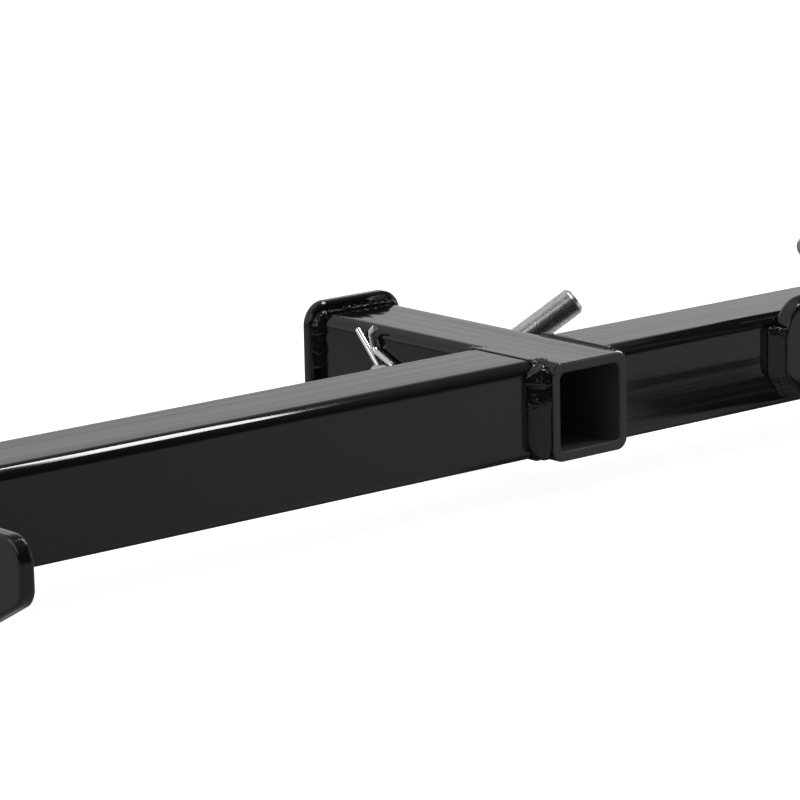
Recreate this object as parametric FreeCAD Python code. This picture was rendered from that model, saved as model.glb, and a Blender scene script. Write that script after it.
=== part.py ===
import FreeCAD, Part
import math
import os

Vector = FreeCAD.Vector

# Trailer hitch receiver. Origin at the centre of the socket's mouth, +Y out of
# the mouth, +X along the crossbar to the right, +Z up. Millimetres.

# Square tube stock
tube_size = 63.5
tube_corner = 8.0
receiver_wall = 6.35
receiver_inner_corner = 4.5
crossbar_wall = 4.8

# Receiver tube
receiver_length = 241.3
receiver_proud = 15.4
edge_break = 0.8
mouth_break = 1.6

# Reinforcing collar at the mouth
collar_thickness = 8.0
collar_width = 8.5
collar_edge = 1.6

# Crossbar and the plates that close its ends
crossbar_length = 1032.0
plate_thickness = 9.5
plate_reach = 142.5
plate_nose_height = 35.5
plate_slope_deg = 27.8
plate_drop = 28.0
plate_back_margin = 8.0
plate_nose_corner = 15.0
plate_chin_corner = 12.0
plate_corner = 10.0
plate_edge = 1.2
bolt_hole_radius = 7.0
bolt_hole_spacing = 60.0
bolt_hole_inset = 48.0
bolt_hole_drop = 19.0

# Hanger lug and its rod, right of the receiver
lug_offset = 179.0
lug_width = 78.0
lug_thickness = 12.7
lug_rise = 10.8
lug_side_bottom = -8.0
lug_bottom = -22.0
lug_top_corner = 26.0
lug_foot_corner = 8.0
lug_crown = 9.5
lug_back_round = 3.1
rod_radius = 6.35
rod_spigot_radius = 4.0
rod_depth = 20.0
rod_fit = 0.05
rod_axis_height = 75.0
rod_bend = 14.0
rod_end_reach = 19.2
rod_end_chamfer = 1.5

# Hitch pin
pin_radius = 9.525
pin_hole_clearance = 0.3
pin_from_mouth = 81.3
pin_tip = 13.5
pin_tip_chamfer = 2.5
pin_bend_offset = 33.2
pin_bend_radius = 20.0
pin_bend_deg = 45.0
pin_lean_deg = 36.7
pin_handle_length = 63.5
pin_end_chamfer = 2.5

# Hairpin clip
wire_radius = 2.0
wire_clearance = 0.3
clip_stand_off = 3.75
clip_lean_deg = 44.0
clip_leg_top = 39.8
clip_eye_radius = 6.5
clip_eye_exit_deg = 45.0
clip_ramp_deg = 23.2
clip_neck_bend = 5.0
clip_flare_deg = 29.0
clip_flare_length = 12.5
clip_flare_bend = 5.0
clip_curl_length = 5.2
clip_curl_deg = 105.0
clip_curl_bend = 3.0

# Weld beads
bead_middle_depth = 0.5
bead_middle_share = 0.65
joint_weld_reach = 8.3
joint_weld_front = 14.0
joint_weld_back = 6.5
joint_weld_corner = 13.0
joint_weld_crown = 0.5
groove_inner = 3.0
groove_outer = 2.8
weld_crown = 0.75
collar_weld_side = 6.5
collar_weld_top = 2.6
collar_weld_reach = 7.0
collar_weld_top_reach = 4.0
collar_weld_end = -4.0
collar_weld_end_round = 5.0
collar_lower_half = 21.0
plate_weld_leg = 5.0
lug_weld_reach = 6.4
lug_weld_rise = 11.8
hidden_round = 0.3

# Places worked out from the sizes above
half_tube = tube_size / 2
crossbar_front = -receiver_length + receiver_proud
crossbar_back = crossbar_front + tube_size
crossbar_middle = crossbar_front + half_tube
crossbar_end = crossbar_length / 2
collar_near = -collar_width
pin_y = -pin_from_mouth
pin_hole_radius = pin_radius + pin_hole_clearance
flat_half = half_tube - tube_corner
clip_x = -half_tube - clip_stand_off
x_axis = Vector(1, 0, 0)
y_axis = Vector(0, 1, 0)
z_axis = Vector(0, 0, 1)


def unit(angle_deg):
    """Unit vector in the drawing plane, counted from its first axis."""
    angle = math.radians(angle_deg)
    return Vector(math.cos(angle), math.sin(angle), 0)


def corner_arc(before, corner, after, radius):
    """Arc that rounds one corner, with the two points where it meets the sides."""
    back = (before - corner).normalize()
    ahead = (after - corner).normalize()
    half_angle = back.getAngle(ahead) / 2
    cut = radius / math.tan(half_angle)
    start = corner + back * cut
    end = corner + ahead * cut
    middle_direction = (back + ahead).normalize()
    centre = corner + middle_direction * (radius / math.sin(half_angle))
    middle = centre - middle_direction * radius
    return start, Part.Arc(start, middle, end).toShape(), end


def rounded_outline(points, radii):
    """Closed wire through the points, each corner rounded to its own radius."""
    count = len(points)
    corners = []
    for i in range(count):
        corners.append(corner_arc(points[i - 1], points[i], points[(i + 1) % count], radii[i]))
    edges = []
    for i in range(count):
        edges.append(Part.LineSegment(corners[i - 1][2], corners[i][0]).toShape())
        edges.append(corners[i][1])
    return Part.Wire(edges)


def rounded_path(points, radii):
    """Open chain of edges through the points, inner corners rounded."""
    edges = []
    here = points[0]
    for i, radius in enumerate(radii):
        start, arc, end = corner_arc(points[i], points[i + 1], points[i + 2], radius)
        edges.append(Part.LineSegment(here, start).toShape())
        edges.append(arc)
        here = end
    edges.append(Part.LineSegment(here, points[-1]).toShape())
    return edges


def square_outline(half, radius):
    """Rounded square about the drawing origin."""
    points = [Vector(-half, -half), Vector(half, -half), Vector(half, half), Vector(-half, half)]
    return rounded_outline(points, [radius] * 4)


def place(shape, origin, first, second):
    """Move a drawing so that its own X and Y lie along two directions in space."""
    moved = shape.copy()
    turn = FreeCAD.Rotation(first, second, first.cross(second), "XYZ")
    moved.Placement = FreeCAD.Placement(origin, turn)
    return moved


def along_y(outline, start, length):
    """Solid from a drawing in X and Z, pulled along +Y."""
    wire = place(outline, Vector(0, start, 0), x_axis, z_axis)
    return Part.Face(wire).extrude(y_axis * length)


def along_x(outline, start, length, middle_y):
    """Solid from a drawing in Y and Z, pulled along +X."""
    wire = place(outline, Vector(start, middle_y, 0), y_axis, z_axis)
    return Part.Face(wire).extrude(x_axis * length)


def end_edges(solid, y, smallest, largest):
    """Edges in the plane of one tube end whose size lies between two limits."""
    found = []
    for edge in solid.Edges:
        box = edge.BoundBox
        reach = max(abs(box.XMin), abs(box.XMax), abs(box.ZMin), abs(box.ZMax))
        if abs(box.YMin - y) < 0.01 and abs(box.YMax - y) < 0.01 and smallest < reach < largest:
            found.append(edge)
    return found


def receiver_outside():
    return along_y(square_outline(half_tube, tube_corner), -receiver_length, receiver_length)


def crossbar_outside(side):
    length = crossbar_end - half_tube
    start = half_tube if side > 0 else -crossbar_end
    return along_x(square_outline(half_tube, tube_corner), start, length, crossbar_middle)


def make_receiver_tube():
    inner_half = half_tube - receiver_wall
    inner_outline = square_outline(inner_half, receiver_inner_corner)
    bore = along_y(inner_outline, -receiver_length, receiver_length)
    tube = receiver_outside().cut(bore)
    pin_hole = Part.makeCylinder(pin_hole_radius, 2 * tube_size, Vector(-tube_size, pin_y, 0), x_axis)
    tube = tube.cut(pin_hole)
    rim = end_edges(tube, -receiver_length, 0, tube_size)
    tube = tube.makeChamfer(edge_break, rim)
    mouth = end_edges(tube, 0, 0, inner_half + 0.01)
    return tube.makeChamfer(mouth_break, mouth)


def make_mouth_collar():
    outside = along_y(
        square_outline(half_tube + collar_thickness, tube_corner + collar_thickness),
        collar_near, collar_width)
    rim = end_edges(outside, collar_near, 0, 2 * tube_size) + end_edges(outside, 0, 0, 2 * tube_size)
    outside = outside.makeChamfer(collar_edge, rim)
    return outside.cut(receiver_outside())


def make_crossbar_tube(side):
    inside_half = half_tube - crossbar_wall
    inside_corner = tube_corner - crossbar_wall
    start = half_tube if side > 0 else -crossbar_end
    length = crossbar_end - half_tube
    hollow = along_x(square_outline(inside_half, inside_corner), start, length, crossbar_middle)
    return crossbar_outside(side).cut(hollow)


def plate_outline():
    """Side view of an end plate: level top, blunt nose, underside sloping down to the root."""
    top = half_tube
    nose = crossbar_front - plate_reach
    chin = top - plate_nose_height
    bottom = -half_tube - plate_drop
    heel = nose + (chin - bottom) / math.tan(math.radians(plate_slope_deg))
    back = crossbar_back + plate_back_margin
    points = [Vector(nose, top), Vector(back, top), Vector(back, bottom), Vector(heel, bottom),
              Vector(nose, chin)]
    radii = [plate_nose_corner, plate_corner, plate_corner, plate_corner, plate_chin_corner]
    return rounded_outline(points, radii)


def bolt_hole_places():
    """Y and Z of the two bolt holes in an end plate."""
    z = half_tube - bolt_hole_drop
    first = crossbar_front - plate_reach + bolt_hole_inset
    return [Vector(0, first, z), Vector(0, first + bolt_hole_spacing, z)]


def make_end_plate(side):
    inner = side * crossbar_end
    start = inner if side > 0 else inner - plate_thickness
    plate = along_x(plate_outline(), start, plate_thickness, 0)
    outline_edges = []
    for edge in plate.Edges:
        if edge.BoundBox.XLength < 0.01:
            outline_edges.append(edge)
    plate = plate.makeChamfer(plate_edge, outline_edges)
    for spot in bolt_hole_places():
        hole = Part.makeCylinder(
            bolt_hole_radius, plate_thickness + 2, spot + x_axis * (start - 1), x_axis)
        plate = plate.cut(hole)
    return plate


def lug_outline(grow):
    """Front view of the hanger lug, or of its weld's foot when grown outwards."""
    left = lug_offset - grow
    right = lug_offset + lug_width + grow
    top = half_tube + lug_rise + grow
    shoulder = lug_side_bottom
    bottom = lug_bottom - grow
    foot = shoulder - lug_bottom
    points = [Vector(left, top), Vector(left, shoulder), Vector(left + foot, bottom),
              Vector(right - foot, bottom), Vector(right, shoulder), Vector(right, top)]
    top_corner = lug_top_corner + grow
    foot_corner = lug_foot_corner + grow
    radii = [top_corner, foot_corner, foot_corner, foot_corner, foot_corner, top_corner]
    return rounded_outline(points, radii)


def lug_solid():
    """The lug without its hole: front view crossed with a side view that rounds its top."""
    near = crossbar_front - lug_thickness
    front_view = along_y(lug_outline(0), near, lug_thickness)
    top = half_tube + lug_rise
    side_points = [Vector(near, lug_bottom - 1), Vector(crossbar_front, lug_bottom - 1),
                   Vector(crossbar_front, top), Vector(near, top)]
    side_view = along_x(
        rounded_outline(side_points, [hidden_round, hidden_round, lug_back_round, lug_crown]),
        lug_offset - 1, lug_width + 2, 0)
    return front_view.common(side_view)


def rod_seat():
    """Where the rod's shoulder stands on the lug's top."""
    return Vector(
        lug_offset + lug_width / 2,
        crossbar_front - lug_thickness / 2,
        half_tube + lug_rise)


def make_hanger_lug():
    seat = rod_seat()
    hole = Part.makeCylinder(rod_spigot_radius + rod_fit, 2 * rod_depth, seat - z_axis * rod_depth, z_axis)
    return lug_solid().cut(hole)


def make_hanger_rod():
    """Bent rod with a turned-down spigot that is pressed into the lug."""
    seat = rod_seat()
    crown = Vector(seat.x, seat.y, rod_axis_height)
    end = crown - x_axis * rod_end_reach
    path = Part.Wire(rounded_path([seat, crown, end], [rod_bend]))
    profile = Part.Face(Part.Wire(Part.makeCircle(rod_radius, seat, z_axis)))
    rod = path.makePipe(profile)
    rim = []
    for edge in rod.Edges:
        if abs(edge.BoundBox.XMax - end.x) < 0.01:
            rim.append(edge)
    rod = rod.makeChamfer(rod_end_chamfer, rim)
    spigot = Part.makeCylinder(rod_spigot_radius, rod_depth, seat - z_axis * rod_depth, z_axis)
    return rod.fuse(spigot)


def pin_handle_direction():
    lean = math.radians(pin_lean_deg)
    sideways = Vector(0, -math.sin(lean), math.cos(lean))
    turn = math.radians(pin_bend_deg)
    return x_axis * math.cos(turn) + sideways * math.sin(turn)


def clip_directions():
    """Along the clip's straight leg, and across it towards the sprung leg."""
    lean = math.radians(clip_lean_deg)
    return Vector(0, math.sin(lean), math.cos(lean)), Vector(0, -math.cos(lean), math.sin(lean))


def make_hitch_pin():
    tip = Vector(-half_tube - pin_tip, pin_y, 0)
    bend = Vector(half_tube + pin_bend_offset, pin_y, 0)
    handle = pin_handle_direction()
    end = bend + handle * pin_handle_length
    path = Part.Wire(rounded_path([tip, bend, end], [pin_bend_radius]))
    profile = Part.Face(Part.Wire(Part.makeCircle(pin_radius, tip, x_axis)))
    pin = path.makePipe(profile)
    tip_rim = []
    end_rim = []
    for edge in pin.Edges:
        if abs(edge.BoundBox.XMax - tip.x) < 0.01:
            tip_rim.append(edge)
        elif isinstance(edge.Curve, Part.Circle) and (edge.Curve.Center - end).Length < 0.01:
            end_rim.append(edge)
    pin = pin.makeChamfer(pin_tip_chamfer, tip_rim)
    for edge in pin.Edges:
        if isinstance(edge.Curve, Part.Circle) and (edge.Curve.Center - end).Length < 0.01:
            end_rim = [edge]
    pin = pin.makeChamfer(pin_end_chamfer, end_rim)
    leg, across = clip_directions()
    start = Vector(clip_x, pin_y, 0) - leg * (2 * pin_radius)
    cross_hole = Part.makeCylinder(wire_radius + wire_clearance, 4 * pin_radius, start, leg)
    return pin.cut(cross_hole)


def make_hairpin_clip():
    """Round wire: straight leg through the pin, eye, and a sprung leg that hugs the pin."""
    touch = 2 * wire_radius + wire_clearance
    hump = pin_radius + wire_clearance + wire_radius
    ramp = math.radians(clip_ramp_deg)
    apex = hump / math.cos(ramp)
    waist = (apex - touch) / math.tan(ramp)
    eye_exit = unit(clip_eye_exit_deg)
    eye_top = clip_eye_radius * (1 + eye_exit.x)
    eye_middle = -waist - (eye_top - touch) / math.tan(math.radians(clip_eye_exit_deg))
    eye_middle = eye_middle - clip_eye_radius * eye_exit.y
    eye_start = Vector(eye_middle, 0)
    eye_bottom = Vector(eye_middle - clip_eye_radius, clip_eye_radius)
    eye_end = Vector(eye_middle + clip_eye_radius * eye_exit.y, eye_top)
    flare_end = Vector(waist, touch) + unit(clip_flare_deg) * clip_flare_length
    curl_end = flare_end + unit(clip_curl_deg) * clip_curl_length
    edges = [Part.LineSegment(Vector(clip_leg_top, 0), eye_start).toShape(),
             Part.Arc(eye_start, eye_bottom, eye_end).toShape()]
    sprung = [eye_end, Vector(-waist, touch), Vector(0, apex), Vector(waist, touch), flare_end, curl_end]
    edges += rounded_path(sprung, [clip_neck_bend, hump, clip_flare_bend, clip_curl_bend])
    profile = Part.Wire(Part.makeCircle(wire_radius, Vector(clip_leg_top, 0, 0), x_axis))
    flat = Part.Wire(edges).makePipe(Part.Face(profile))
    leg, across = clip_directions()
    return place(flat, Vector(clip_x, pin_y, 0), leg, across)


def groove_bead(top):
    """Crowned bead in the groove between the receiver's rounding and a crossbar tube."""
    inner_x = -flat_half - groove_inner
    inner_z = flat_half + math.sqrt(tube_corner ** 2 - groove_inner ** 2)
    outer_x = -half_tube - groove_outer
    inner = Vector(inner_x, inner_z)
    middle = Vector((inner_x + outer_x) / 2, half_tube + weld_crown)
    outer = Vector(outer_x, half_tube)
    root = Vector(-half_tube, flat_half)
    edges = [Part.Arc(inner, middle, outer).toShape(),
             Part.LineSegment(outer, root).toShape(),
             Part.LineSegment(root, inner).toShape()]
    bead = along_y(Part.Wire(edges), crossbar_front, tube_size)
    if not top:
        bead = bead.mirror(Vector(0, 0, 0), z_axis)
    return bead


def bulged_edge(first, last, crown):
    """Edge from one toe of a bead to the other, bulged to the right by the crown."""
    chord = last - first
    outward = Vector(chord.y, -chord.x).normalize()
    middle = (first + last) * 0.5 + outward * crown
    return Part.Arc(first, middle, last).toShape()


def joint_weld_plan():
    """The fillet beads seen from above, before and behind the crossbar's left tube."""
    toe_x = -half_tube - joint_weld_reach
    front_toe = Vector(-half_tube, -half_tube - joint_weld_front)
    back_toe = Vector(-half_tube, half_tube + joint_weld_back)
    front_foot = Vector(toe_x, -half_tube)
    back_foot = Vector(toe_x, half_tube)
    front_inner = Vector(-flat_half, front_toe.y)
    back_inner = Vector(-flat_half, back_toe.y)
    edges = [bulged_edge(front_toe, front_foot, -joint_weld_crown),
             Part.LineSegment(front_foot, back_foot).toShape(),
             bulged_edge(back_foot, back_toe, -joint_weld_crown),
             Part.LineSegment(back_toe, back_inner).toShape(),
             Part.LineSegment(back_inner, front_inner).toShape(),
             Part.LineSegment(front_inner, front_toe).toShape()]
    return place(Part.Wire(edges), Vector(0, crossbar_middle, -tube_size), x_axis, y_axis)


def make_joint_weld(side):
    """Beads that join one crossbar tube to the receiver: a fillet before and behind, a filled
    groove above and below, all run together round the corners."""
    plan = Part.Face(joint_weld_plan()).extrude(z_axis * (2 * tube_size))
    tall = half_tube + weld_crown / 2
    front = -half_tube - joint_weld_front
    back = half_tube + joint_weld_back
    side_points = [Vector(front, -tall), Vector(back, -tall), Vector(back, tall), Vector(front, tall)]
    side_view = along_x(rounded_outline(side_points, [joint_weld_corner] * 4),
                        -2 * tube_size, 2 * tube_size, crossbar_middle)
    wide = half_tube + joint_weld_reach
    end_points = [Vector(-wide, -tall), Vector(wide, -tall), Vector(wide, tall), Vector(-wide, tall)]
    end_view = along_y(rounded_outline(end_points, [joint_weld_corner] * 4),
                       crossbar_middle - tube_size, 2 * tube_size)
    bead = plan.common(side_view).common(end_view)
    bead = bead.fuse(groove_bead(True)).fuse(groove_bead(False))
    bead = bead.cut(crossbar_outside(-1)).cut(receiver_outside())
    if side > 0:
        bead = bead.mirror(Vector(0, 0, 0), x_axis)
    return bead


def collar_weld_section(y, share):
    """Outline of the collar's bead at one distance from the collar, as a share of its full legs."""
    wide = half_tube + collar_weld_side * share
    tall = half_tube + collar_weld_top * share
    points = [Vector(-wide, -tall), Vector(wide, -tall), Vector(wide, tall), Vector(-wide, tall)]
    outline = rounded_outline(points, [tube_corner + collar_weld_top * share] * 4)
    return place(outline, Vector(0, y, 0), x_axis, z_axis)


def collar_bead():
    """Crowned bead all round the receiver, behind the collar."""
    middle = collar_near - collar_weld_reach * bead_middle_depth
    far = collar_near - collar_weld_reach
    sections = [collar_weld_section(collar_near, 1), collar_weld_section(middle, bead_middle_share),
                collar_weld_section(far, 0)]
    return Part.makeLoft(sections, True, True).cut(receiver_outside())


def make_collar_weld():
    """Over the top and down both sides, to just below the pin's height."""
    far = collar_near - collar_weld_reach
    top_far = collar_near - collar_weld_top_reach
    side_points = [Vector(far, collar_weld_end), Vector(collar_near, collar_weld_end),
                   Vector(collar_near, tube_size), Vector(top_far, tube_size),
                   Vector(top_far, half_tube), Vector(far, flat_half)]
    radii = [collar_weld_end_round, hidden_round, hidden_round, hidden_round, hidden_round, hidden_round]
    side_view = along_x(rounded_outline(side_points, radii), -2 * tube_size, 4 * tube_size, 0)
    return collar_bead().common(side_view)


def make_collar_lower_weld():
    """Short bead under the receiver."""
    far = collar_near - collar_weld_reach
    plan_points = [Vector(-collar_lower_half, far), Vector(collar_lower_half, far),
                   Vector(collar_lower_half, collar_near), Vector(-collar_lower_half, collar_near)]
    radii = [collar_weld_end_round, collar_weld_end_round, hidden_round, hidden_round]
    plan = place(rounded_outline(plan_points, radii), Vector(0, 0, -2 * tube_size), x_axis, y_axis)
    below = Part.Face(plan).extrude(z_axis * (2 * tube_size))
    return collar_bead().common(below)


def make_plate_weld(side):
    seat = -crossbar_end
    wide = place(square_outline(half_tube + plate_weld_leg, tube_corner + plate_weld_leg),
                 Vector(seat, crossbar_middle, 0), y_axis, z_axis)
    narrow = place(square_outline(half_tube, tube_corner),
                   Vector(seat + plate_weld_leg, crossbar_middle, 0), y_axis, z_axis)
    bead = Part.makeLoft([wide, narrow], True, True)
    corner = Vector(seat - tube_size, crossbar_middle - tube_size, half_tube - 2 * tube_size)
    under_top = Part.makeBox(2 * tube_size, 2 * tube_size, 2 * tube_size, corner)
    bead = bead.common(under_top).cut(crossbar_outside(-1))
    if side > 0:
        bead = bead.mirror(Vector(0, 0, 0), x_axis)
    return bead


def make_lug_weld():
    """Flat-faced bead round the lug's sides and foot."""
    wide = place(lug_outline(lug_weld_reach), Vector(0, crossbar_front, 0), x_axis, z_axis)
    narrow = place(lug_outline(0), Vector(0, crossbar_front - lug_weld_rise, 0), x_axis, z_axis)
    bead = Part.makeLoft([wide, narrow], True, True)
    corner = Vector(lug_offset - lug_width / 2, crossbar_front - lug_thickness, flat_half - tube_size)
    below = Part.makeBox(2 * lug_width, lug_thickness, tube_size, corner)
    return bead.common(below).cut(lug_solid())


def check_one_solid(name, shape):
    """Return the shape's single solid, or stop with a plain message."""
    solids = shape.Solids
    if len(solids) != 1 or not solids[0].isValid():
        raise ValueError(name + " is not one valid solid: " + str(len(solids)))
    return solids[0]


def build():
    pieces = {
        "receiver_tube": make_receiver_tube(),
        "mouth_collar": make_mouth_collar(),
        "mouth_collar_weld": make_collar_weld(),
        "mouth_collar_lower_weld": make_collar_lower_weld(),
        "hanger_lug": make_hanger_lug(),
        "hanger_lug_weld": make_lug_weld(),
        "hanger_rod": make_hanger_rod(),
        "hitch_pin": make_hitch_pin(),
        "hairpin_clip": make_hairpin_clip(),
    }
    for name, side in (("left", -1), ("right", 1)):
        pieces["crossbar_" + name + "_tube"] = make_crossbar_tube(side)
        pieces["crossbar_" + name + "_weld"] = make_joint_weld(side)
        pieces[name + "_end_plate"] = make_end_plate(side)
        pieces[name + "_end_plate_weld"] = make_plate_weld(side)
    os.makedirs("parts", exist_ok=True)
    for name, shape in pieces.items():
        solid = check_one_solid(name, shape)
        solid.exportStep("parts/" + name + ".step")
        box = solid.BoundBox
        print(name, "volume", round(solid.Volume), "box",
              [round(v, 1) for v in (box.XMin, box.YMin, box.ZMin, box.XMax, box.YMax, box.ZMax)])


build()
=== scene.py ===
import math

import bpy
import numpy as np
from mathutils import Matrix, Vector, noise


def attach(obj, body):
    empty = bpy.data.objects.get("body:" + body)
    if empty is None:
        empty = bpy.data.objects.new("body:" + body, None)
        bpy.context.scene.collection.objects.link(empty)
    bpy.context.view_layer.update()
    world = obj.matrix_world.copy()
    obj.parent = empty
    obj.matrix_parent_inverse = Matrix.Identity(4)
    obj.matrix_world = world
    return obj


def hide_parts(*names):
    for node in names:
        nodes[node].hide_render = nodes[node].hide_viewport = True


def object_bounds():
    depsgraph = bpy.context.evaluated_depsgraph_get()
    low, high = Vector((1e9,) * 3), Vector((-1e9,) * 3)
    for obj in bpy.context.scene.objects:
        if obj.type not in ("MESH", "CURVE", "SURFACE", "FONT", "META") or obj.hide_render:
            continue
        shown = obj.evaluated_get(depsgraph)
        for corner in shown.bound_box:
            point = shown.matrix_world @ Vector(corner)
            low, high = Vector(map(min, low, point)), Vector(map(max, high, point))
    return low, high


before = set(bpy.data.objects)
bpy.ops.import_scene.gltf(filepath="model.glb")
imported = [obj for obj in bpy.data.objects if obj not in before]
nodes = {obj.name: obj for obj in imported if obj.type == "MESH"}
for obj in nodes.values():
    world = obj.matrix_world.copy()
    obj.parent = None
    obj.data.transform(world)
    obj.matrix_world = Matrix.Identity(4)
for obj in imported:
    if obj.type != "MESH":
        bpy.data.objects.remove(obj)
cadBox = [list(corner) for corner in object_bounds()]
print("frame loaded:", len(nodes), "pieces")

floorHeight = cadBox[0][2]


# camera, set to the photograph's view
cameraSet = {
    "azimuth": 39.835,  # degrees, 0 looks along +Y
    "elevation": 12.481,
    "roll": -1.173,
    "lens": 182.41,  # mm on a 36 mm sensor
    "distance": 2.5621,  # metres from the aim point
    "aim": (-0.09155, -0.16297, 0.00680),
}


def addCamera(c):
    az, el, roll = (math.radians(c[k]) for k in ("azimuth", "elevation", "roll"))
    forward = Vector((math.sin(az) * math.cos(el), math.cos(az) * math.cos(el), -math.sin(el)))
    right = Vector((math.cos(az), -math.sin(az), 0))
    up = right.cross(forward)
    tiltedRight = right * math.cos(roll) + up * math.sin(roll)
    tiltedUp = up * math.cos(roll) - right * math.sin(roll)
    turn = Matrix((tiltedRight, tiltedUp, -forward)).transposed()
    camera = bpy.data.cameras.new("photoCamera")
    camera.lens = c["lens"]
    camera.sensor_width = 36
    camera.clip_end = 50
    holder = bpy.data.objects.new("photoCamera", camera)
    place = Vector(c["aim"]) - forward * c["distance"]
    holder.matrix_world = Matrix.Translation(place) @ turn.to_4x4()
    bpy.context.scene.collection.objects.link(holder)
    bpy.context.scene.camera = holder


addCamera(cameraSet)
bpy.context.scene.view_settings.view_transform = "Standard"
print("camera set")


# node helpers
def newTree(name):
    material = bpy.data.materials.new(name)
    material.use_nodes = True
    tree = material.node_tree
    return material, tree, tree.nodes["Principled BSDF"]


def addNode(tree, kind, inputs=None, **settings):
    node = tree.nodes.new(kind)
    for key, value in settings.items():
        setattr(node, key, value)
    for key, value in (inputs or {}).items():
        if isinstance(value, bpy.types.NodeSocket):
            tree.links.new(value, node.inputs[key])
        else:
            node.inputs[key].default_value = value
    return node


def noiseOn(tree, scale, stretch=(1, 1, 1), detail=2.0, shift=0.0):
    place = addNode(tree, "ShaderNodeTexCoord").outputs["Object"]
    moved = addNode(tree, "ShaderNodeMapping", {
        "Vector": place, "Scale": [scale * s for s in stretch], "Location": (shift, shift, shift)})
    return addNode(tree, "ShaderNodeTexNoise", {
        "Vector": moved.outputs[0], "Scale": 1.0, "Detail": detail}).outputs["Fac"]


def spread(tree, source, low, high, fromLow=0.3, fromHigh=0.7):
    return addNode(tree, "ShaderNodeMapRange", {
        "Value": source, "From Min": fromLow, "From Max": fromHigh, "To Min": low, "To Max": high}).outputs[0]


def smoothStep(tree, value, start, end):
    return addNode(tree, "ShaderNodeMapRange", {
        "Value": value, "From Min": start, "From Max": end, "To Min": 0.0, "To Max": 1.0},
        interpolation_type="SMOOTHSTEP").outputs[0]


def blendLevels(tree, share, low, high):
    # a Mix node's first input is its share, the next two are its numbers
    return addNode(tree, "ShaderNodeMix", {0: share, 2: low, 3: high}).outputs[0]


def addBump(tree, height, distance, under):
    return addNode(tree, "ShaderNodeBump", {
        "Height": height, "Distance": distance, "Strength": 1.0, "Normal": under}).outputs[0]


# gloss black powder coat
coatSet = {
    "colour": (0.006, 0.006, 0.0065, 1),
    "smooth": 0.05,  # roughness where the coat flowed out
    "dull": 0.10,
    "edgeRound": 0.0007,
    "peelSize": 600,  # lumps of orange peel for each metre
    "peelHeight": 0.000003,
    "rollSize": 45,  # broad waves left by the tube mill, lengthwise
    "rollHeight": 0.00080,
    "streakSize": 260,
    "streakHeight": 0.00005,
    "innerShine": 0.55,
    "innerColour": (0.042, 0.042, 0.043, 1),
}


def thinCoat(tree):
    # 1 on the socket's inner walls and its sawn near end, where the coat is thin and dull
    place = addNode(tree, "ShaderNodeTexCoord").outputs["Object"]
    away = addNode(tree, "ShaderNodeVectorMath", {0: place}, operation="ABSOLUTE").outputs[0]
    parts = addNode(tree, "ShaderNodeSeparateXYZ", {0: away})
    across = addNode(tree, "ShaderNodeMath", {0: parts.outputs["X"], 1: parts.outputs["Z"]}, operation="MAXIMUM")
    inner = addNode(tree, "ShaderNodeMath", {0: across.outputs[0], 1: 0.0258}, operation="LESS_THAN")
    sawn = addNode(tree, "ShaderNodeMath", {0: parts.outputs["Y"], 1: 0.2409}, operation="GREATER_THAN")
    return addNode(tree, "ShaderNodeMath", {0: inner.outputs[0], 1: sawn.outputs[0]}, operation="MAXIMUM").outputs[0]


def powderCoat(name, stretch=None, rough=1.0, bore=False, edge=None):
    c = coatSet
    material, tree, shader = newTree(name)
    shader.inputs["Base Color"].default_value = c["colour"]
    shader.inputs["IOR"].default_value = 1.5
    cloud = noiseOn(tree, 25, detail=3.0)
    shine = spread(tree, cloud, c["smooth"] * rough, c["dull"] * rough)
    if bore:
        inside = thinCoat(tree)
        shine = blendLevels(tree, inside, shine, c["innerShine"])
        tint = addNode(tree, "ShaderNodeMixRGB", {
            "Fac": inside, "Color1": c["colour"], "Color2": c["innerColour"]}).outputs[0]
        tree.links.new(tint, shader.inputs["Base Color"])
    tree.links.new(shine, shader.inputs["Roughness"])
    normal = addNode(tree, "ShaderNodeBevel", {"Radius": edge or c["edgeRound"]}, samples=8).outputs[0]
    if stretch:
        broad = noiseOn(tree, c["rollSize"], stretch, detail=2.0, shift=3.1)
        normal = addBump(tree, broad, c["rollHeight"], normal)
        rolled = noiseOn(tree, c["streakSize"], stretch, detail=3.0, shift=7.3)
        normal = addBump(tree, rolled, c["streakHeight"], normal)
    peel = noiseOn(tree, c["peelSize"], detail=1.0)
    normal = addBump(tree, peel, c["peelHeight"] * rough, normal)
    tree.links.new(normal, shader.inputs["Normal"])
    return material


# bright zinc of the pin and the rod
zincSet = {
    "bright": (0.90, 0.90, 0.93, 1),
    "grey": (0.62, 0.62, 0.65, 1),
    "edgeRound": 0.0012,
    "spangle": 420,
    "dimpleSize": 800,
}


def zincPlate(name, smooth, dull, dimple):
    c = zincSet
    material, tree, shader = newTree(name)
    shader.inputs["Metallic"].default_value = 1.0
    patch = noiseOn(tree, c["spangle"], detail=4.0)
    mix = addNode(tree, "ShaderNodeMixRGB", {
        "Fac": spread(tree, patch, 0, 1), "Color1": c["grey"], "Color2": c["bright"]})
    tree.links.new(mix.outputs[0], shader.inputs["Base Color"])
    tree.links.new(spread(tree, patch, dull, smooth), shader.inputs["Roughness"])
    normal = addNode(tree, "ShaderNodeBevel", {"Radius": c["edgeRound"]}, samples=6).outputs[0]
    pits = noiseOn(tree, c["dimpleSize"], detail=2.0, shift=1.7)
    tree.links.new(addBump(tree, pits, dimple, normal), shader.inputs["Normal"])
    return material


wireSet = {
    "colour": (0.95, 0.94, 0.91, 1),
    "scratchSize": 900,
}


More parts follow.
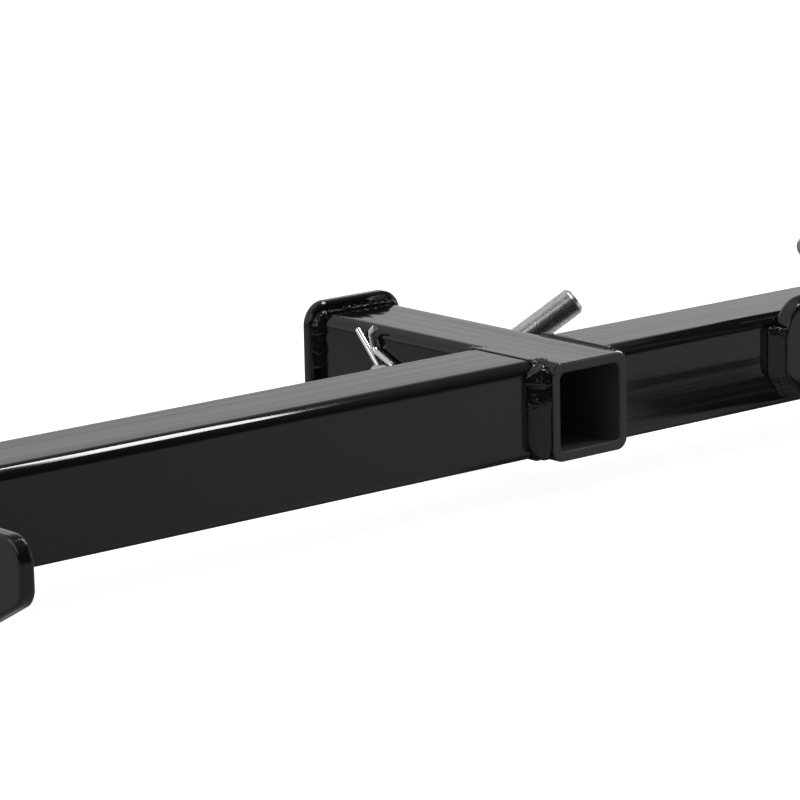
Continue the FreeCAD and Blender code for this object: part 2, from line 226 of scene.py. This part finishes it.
def springWire(name):
    material, tree, shader = newTree(name)
    shader.inputs["Metallic"].default_value = 1.0
    shader.inputs["Base Color"].default_value = wireSet["colour"]
    scratch = noiseOn(tree, wireSet["scratchSize"], detail=2.0)
    tree.links.new(spread(tree, scratch, 0.16, 0.26), shader.inputs["Roughness"])
    normal = addNode(tree, "ShaderNodeBevel", {"Radius": 0.0004}, samples=4).outputs[0]
    tree.links.new(addBump(tree, scratch, 0.000002, normal), shader.inputs["Normal"])
    return material


alongX = (0.03, 1, 1)
alongY = (1, 0.03, 1)
barCoat = powderCoat("barCoat", alongX)
socketCoat = powderCoat("socketCoat", alongY, bore=True)
plateCoat = powderCoat("plateCoat", edge=0.0030)
collarCoat = powderCoat("collarCoat", edge=0.0035)
weldCoat = powderCoat("weldCoat", rough=1.4)
pinZinc = zincPlate("pinZinc", 0.18, 0.38, 0.00012)
rodZinc = zincPlate("rodZinc", 0.24, 0.34, 0.000008)
clipWire = springWire("clipWire")

finishes = {
    "receiver_tube": socketCoat,
    "mouth_collar": collarCoat,
    "crossbar_left_tube": barCoat,
    "crossbar_right_tube": barCoat,
    "left_end_plate": plateCoat,
    "right_end_plate": plateCoat,
    "hanger_lug": plateCoat,
    "hanger_rod": rodZinc,
    "hitch_pin": pinZinc,
    "hairpin_clip": clipWire,
}
for nodeName, finish in finishes.items():
    for slot in nodes[nodeName].material_slots:
        slot.material = finish
print("finishes set")


# weld beads: each packed bead remeshed fine, then rippled and roughened
beadSet = {
    "voxel": 0.0005,
    "pitch": 0.0026,  # from one ripple to the next
    "ripple": 0.00010,
    "bend": 0.0035,  # how far a ripple trails at the bead's toes
    "lumpSize": 0.0019,
    "lump": 0.0013,
    "waveSize": 0.009,
    "wave": 0.00025,
    "scale": 0.014,  # from one heavy scale to the next, down the front of a joint
    "scaleHeight": 0.0020,
    "sideScale": 0.0130,  # the same on the collar's left side
    "sideScaleHeight": 0.0019,
    "lipWidth": 0.0022,  # how far the left joint's upper end runs out over the bar
    "grooveSlope": 0.0018,
}

# a bead runs round a square ring: its middle, half its width, and the three axes as
# (across the ring, up the ring, along the tube); a lump stands up where its noise passes the last number
barMiddle = -0.19415
beads = {
    "crossbar_left_weld": ((-0.0318, barMiddle, 0), 0.032, (1, 2, 0), 0.22),
    "crossbar_right_weld": ((0.0318, barMiddle, 0), 0.032, (1, 2, 0), 0.22),
    "mouth_collar_weld": ((0, -0.0085, 0), 0.032, (0, 2, 1), 0.10),
    "mouth_collar_lower_weld": ((0, -0.0085, 0), 0.032, (0, 2, 1), 0.10),
    "left_end_plate_weld": ((-0.516, barMiddle, 0), 0.032, (1, 2, 0), 0.2),
    "right_end_plate_weld": ((0.516, barMiddle, 0), 0.032, (1, 2, 0), 0.2),
    "hanger_lug_weld": ((0.218, -0.2259, 0.005), 0.039, (0, 2, 1), 0.12),
}


def roughShare(nodeName, p):
    # 1 where the bead is lumpy, 0 where it flowed out smooth
    if nodeName.startswith("crossbar"):
        front = min(max((-0.2190 - p.y) / 0.004, 0.0), 1.0) * min(max((p.z - 0.0035) / 0.002, 0.0), 1.0)
        if nodeName == "crossbar_right_weld":
            front *= min(max((0.026 - p.z) / 0.003, 0.0), 1.0)
        back = min(max((p.y + 0.1740) / 0.004, 0.0), 1.0) * min(max((p.z - 0.018) / 0.005, 0.0), 1.0)
        return max(front, back)
    if nodeName == "hanger_lug_weld":
        top = min(max((p.z - 0.014) / 0.004, 0.0), 1.0)
        foot = min(max((-0.010 - p.z) / 0.004, 0.0), 1.0)
        return max(top, foot)
    if nodeName.startswith("mouth"):
        side = 0.12 if nodeName == "mouth_collar_weld" and p.x < -0.0300 else 0.0
        return max(side, min(max((p.z - 0.022) / 0.006, 0.0), 1.0))
    return 0.3


def lumpShare(nodeName, p):
    # the joint's front is free of lumps between its two scales
    between = nodeName.startswith("crossbar") and p.y < -0.2190 and 0.0105 < p.z < 0.0200
    return 0.1 if between else 1.0


def lipShare(nodeName, p):
    # 1 at the outer toe of the left joint's upper end
    if nodeName != "crossbar_left_weld" or p.y > -0.2190:
        return 0.0
    return min(max((p.z - 0.016) / 0.003, 0.0), 1.0) * min(max((-0.0318 - p.x) / 0.009, 0.0), 1.0)


def beadShape(nodeName, p, n, rough, c):
    # heavy overlapping scales down the joint's front and the collar's left side,
    # and the right joint's top bead sloping to the socket
    if nodeName == "mouth_collar_weld" and p.x < -0.0300 and p.z < 0.0280:
        down = (0.032 - p.z) / c["sideScale"] + 0.15 * noise.noise(p * 160)
        return c["sideScaleHeight"] * (down % 1.0 - 0.5)
    if not nodeName.startswith("crossbar"):
        return 0.0
    if nodeName == "crossbar_right_weld" and n.z > 0.6 and p.z > 0.028:
        return -c["grooveSlope"] * min(max((0.0335 - p.x) / 0.0085, 0.0), 1.0)
    if p.y < -0.2190:
        down = max(0.0, (0.032 - p.z) / c["scale"] + 0.15 * noise.noise(p * 160))
        return c["scaleHeight"] * rough * (down % 1.0 - 0.5)
    return 0.0


def ringLength(a, b, half):
    if abs(b) >= abs(a):
        return 2 * half - a if b > 0 else 6 * half + a
    return b if a > 0 else 4 * half - b


def fineCopy(nodeName, voxel):
    source = nodes[nodeName]
    piece = bpy.data.objects.new(nodeName + "_bead", source.data.copy())
    bpy.context.scene.collection.objects.link(piece)
    remesh = piece.modifiers.new("fine", "REMESH")
    remesh.mode = "VOXEL"
    remesh.voxel_size = voxel
    remesh.use_smooth_shade = True
    view = bpy.context.evaluated_depsgraph_get()
    mesh = bpy.data.meshes.new_from_object(piece.evaluated_get(view))
    piece.modifiers.clear()
    piece.data = mesh
    return piece


def roughenBead(piece, nodeName, c):
    middle, half, axes, lumpLevel = beads[nodeName]
    mesh = piece.data
    across, up, along = axes
    moves = np.zeros((len(mesh.vertices), 3))
    for i, vertex in enumerate(mesh.vertices):
        p, n = vertex.co, vertex.normal
        s = ringLength(p[across] - middle[across], p[up] - middle[up], half)
        s += c["bend"] * (abs(n[along]) - 0.7) ** 2
        s += 0.0012 * noise.noise(p * 220)
        t = s / c["pitch"] % 1.0
        rough = roughShare(nodeName, p)
        height = c["ripple"] * (4 * t * (1 - t)) * (0.08 + 0.3 * rough)
        lumps = rough * lumpShare(nodeName, p)
        height += c["lump"] * lumps * max(0.0, noise.noise(p / c["lumpSize"]) - lumpLevel)
        height += c["wave"] * noise.noise(p / c["waveSize"]) * (0.15 + rough)
        height += beadShape(nodeName, p, n, rough, c)
        moves[i] = n * (height - c["ripple"])
        moves[i][0] -= c["lipWidth"] * lipShare(nodeName, p)
    place = np.empty(len(mesh.vertices) * 3)
    mesh.vertices.foreach_get("co", place)
    mesh.vertices.foreach_set("co", place + moves.ravel())
    mesh.update()


for nodeName in beads:
    bead = fineCopy(nodeName, beadSet["voxel"])
    roughenBead(bead, nodeName, beadSet)
    bead.data.materials.clear()
    bead.data.materials.append(weldCoat)
    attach(bead, "hitch")
    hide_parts(nodeName)
    print("bead", nodeName, len(bead.data.polygons), "faces")


# studio: pale floor, pale surroundings behind, one softbox above
studioSet = {
    "floorColour": (0.50, 0.50, 0.50, 1),
    "floorHalf": 9.0,
    "floorGlow": 0.93,  # seen by the camera alone
    "ambient": 0.32,
    "horizonLeft": 0.67,
    "horizonRight": 0.74,
    "ceilingRight": 0.15,
    "ceilingLeft": 0.50,
    "front": 0.03,
    "mainPlace": (0.503, -0.317, 1.2),
    "mainSize": (0.28, 0.73),
    "mainPower": 11,
    "mainTurn": 12.8,
    "sidePlace": (-1.39, -0.20, 0.85),
    "sideSize": (1.30, 0.90),
    "sidePower": 5.2,
    "sideAim": (-0.03, -0.15, 0.0),
}

# dark sheets on the right, seen only in reflections, that paint dark reflections on the bar: corners of each, seen
# by no camera
darkReflectionCards = {
    "highReflectionCard": ((0.36, -0.42, 0.125), (0.36, -0.01, 0.125), (0.36, -0.035, 0.33), (0.36, -0.42, 0.36)),
    "lowReflectionCard": ((0.165, -0.47, -0.058), (0.34, -0.47, -0.058), (0.34, -0.24, -0.058), (0.165, -0.24, -0.058)),
}
# a painted-reflection sheet that fades out: from where to where along X, then along Y
reflectionCardFades = {"lowReflectionCard": ((0.165, 0.225), (-0.47, -0.35))}


def addFloor(c):
    half = c["floorHalf"]
    mesh = bpy.data.meshes.new("studioFloor")
    corners = [(-half, -half, 0), (half, -half, 0), (half, half, 0), (-half, half, 0)]
    mesh.from_pydata(corners, [], [(0, 1, 2, 3)])
    floor = bpy.data.objects.new("studioFloor", mesh)
    floor.location.z = floorHeight
    bpy.context.scene.collection.objects.link(floor)
    material, tree, shader = newTree("paper")
    shader.inputs["Base Color"].default_value = c["floorColour"]
    shader.inputs["Roughness"].default_value = 0.9
    shader.inputs["Specular IOR Level"].default_value = 0.1
    shader.inputs["Emission Color"].default_value = (1, 1, 1, 1)
    seen = addNode(tree, "ShaderNodeLightPath").outputs["Is Camera Ray"]
    glow = addNode(tree, "ShaderNodeMath", {0: seen, 1: c["floorGlow"]}, operation="MULTIPLY")
    tree.links.new(glow.outputs[0], shader.inputs["Emission Strength"])
    mesh.materials.append(material)


def addWorld(c):
    world = bpy.data.worlds.new("studioWorld")
    bpy.context.scene.world = world
    world.use_nodes = True
    tree = world.node_tree
    tree.nodes.clear()
    direction = addNode(tree, "ShaderNodeTexCoord").outputs["Generated"]
    height = addNode(tree, "ShaderNodeSeparateXYZ", {0: direction}).outputs["Z"]
    behind = addNode(tree, "ShaderNodeVectorMath", {
        0: direction, 1: (0.50, 0.87, 0.0)}, operation="DOT_PRODUCT").outputs["Value"]
    sideways = addNode(tree, "ShaderNodeSeparateXYZ", {0: direction}).outputs["X"]
    ceiling = blendLevels(tree, smoothStep(tree, sideways, 0.0, 0.45), c["ceilingLeft"], c["ceilingRight"])
    horizon = blendLevels(tree, smoothStep(tree, sideways, 0.52, 0.70), c["horizonLeft"], c["horizonRight"])
    wall = blendLevels(tree, smoothStep(tree, height, 0.18, 0.72), horizon, ceiling)
    room = blendLevels(tree, smoothStep(tree, behind, -0.32, 0.12), c["front"], wall)
    path = addNode(tree, "ShaderNodeLightPath")
    unseen = blendLevels(tree, path.outputs["Is Glossy Ray"], c["ambient"], room)
    level = blendLevels(tree, path.outputs["Is Camera Ray"], unseen, 1.0)
    sky = addNode(tree, "ShaderNodeBackground", {"Color": (1, 1, 1, 1), "Strength": level})
    addNode(tree, "ShaderNodeOutputWorld", {"Surface": sky.outputs[0]})


# a near-black sheet seen only in reflections: a painted dark reflection
def addReflectionCard(name, corners, fade=None):
    mesh = bpy.data.meshes.new(name)
    mesh.from_pydata(corners, [], [(0, 1, 2, 3)])
    card = bpy.data.objects.new(name, mesh)
    bpy.context.scene.collection.objects.link(card)
    material, tree, shader = newTree(name)
    shader.inputs["Base Color"].default_value = (0.004, 0.004, 0.004, 1)
    shader.inputs["Roughness"].default_value = 0.9
    if fade:
        place = addNode(tree, "ShaderNodeTexCoord").outputs["Object"]
        parts = addNode(tree, "ShaderNodeSeparateXYZ", {0: place})
        shares = [smoothStep(tree, parts.outputs[i], *fade[i]) for i in (0, 1)]
        both = addNode(tree, "ShaderNodeMath", {0: shares[0], 1: shares[1]}, operation="MULTIPLY")
        tree.links.new(both.outputs[0], shader.inputs["Alpha"])
    mesh.materials.append(material)
    # hidden from the camera, from diffuse light and from shadows, so it shows only as a painted dark reflection
    card.visible_camera = False
    card.visible_diffuse = False
    card.visible_shadow = False


def addSoftbox(name, place, size, power, turn=0.0, aim=None):
    lamp = bpy.data.lights.new(name, "AREA")
    lamp.shape = "RECTANGLE"
    lamp.size, lamp.size_y = size
    lamp.energy = power
    box = bpy.data.objects.new(name, lamp)
    box.location = place  # an area lamp shines straight down when it isn't aimed
    box.rotation_euler.z = math.radians(turn)
    if aim:
        box.rotation_euler = (Vector(aim) - Vector(place)).to_track_quat("-Z", "Y").to_euler()
    bpy.context.scene.collection.objects.link(box)


addFloor(studioSet)
addWorld(studioSet)
# painted dark reflections on the right of the bar
for cardName, cardCorners in darkReflectionCards.items():
    addReflectionCard(cardName, cardCorners, reflectionCardFades.get(cardName))
addSoftbox(
    "mainSoftbox", studioSet["mainPlace"], studioSet["mainSize"], studioSet["mainPower"], turn=studioSet["mainTurn"])
addSoftbox(
    "sideSoftbox", studioSet["sidePlace"], studioSet["sideSize"], studioSet["sidePower"], aim=studioSet["sideAim"])
print("studio set")
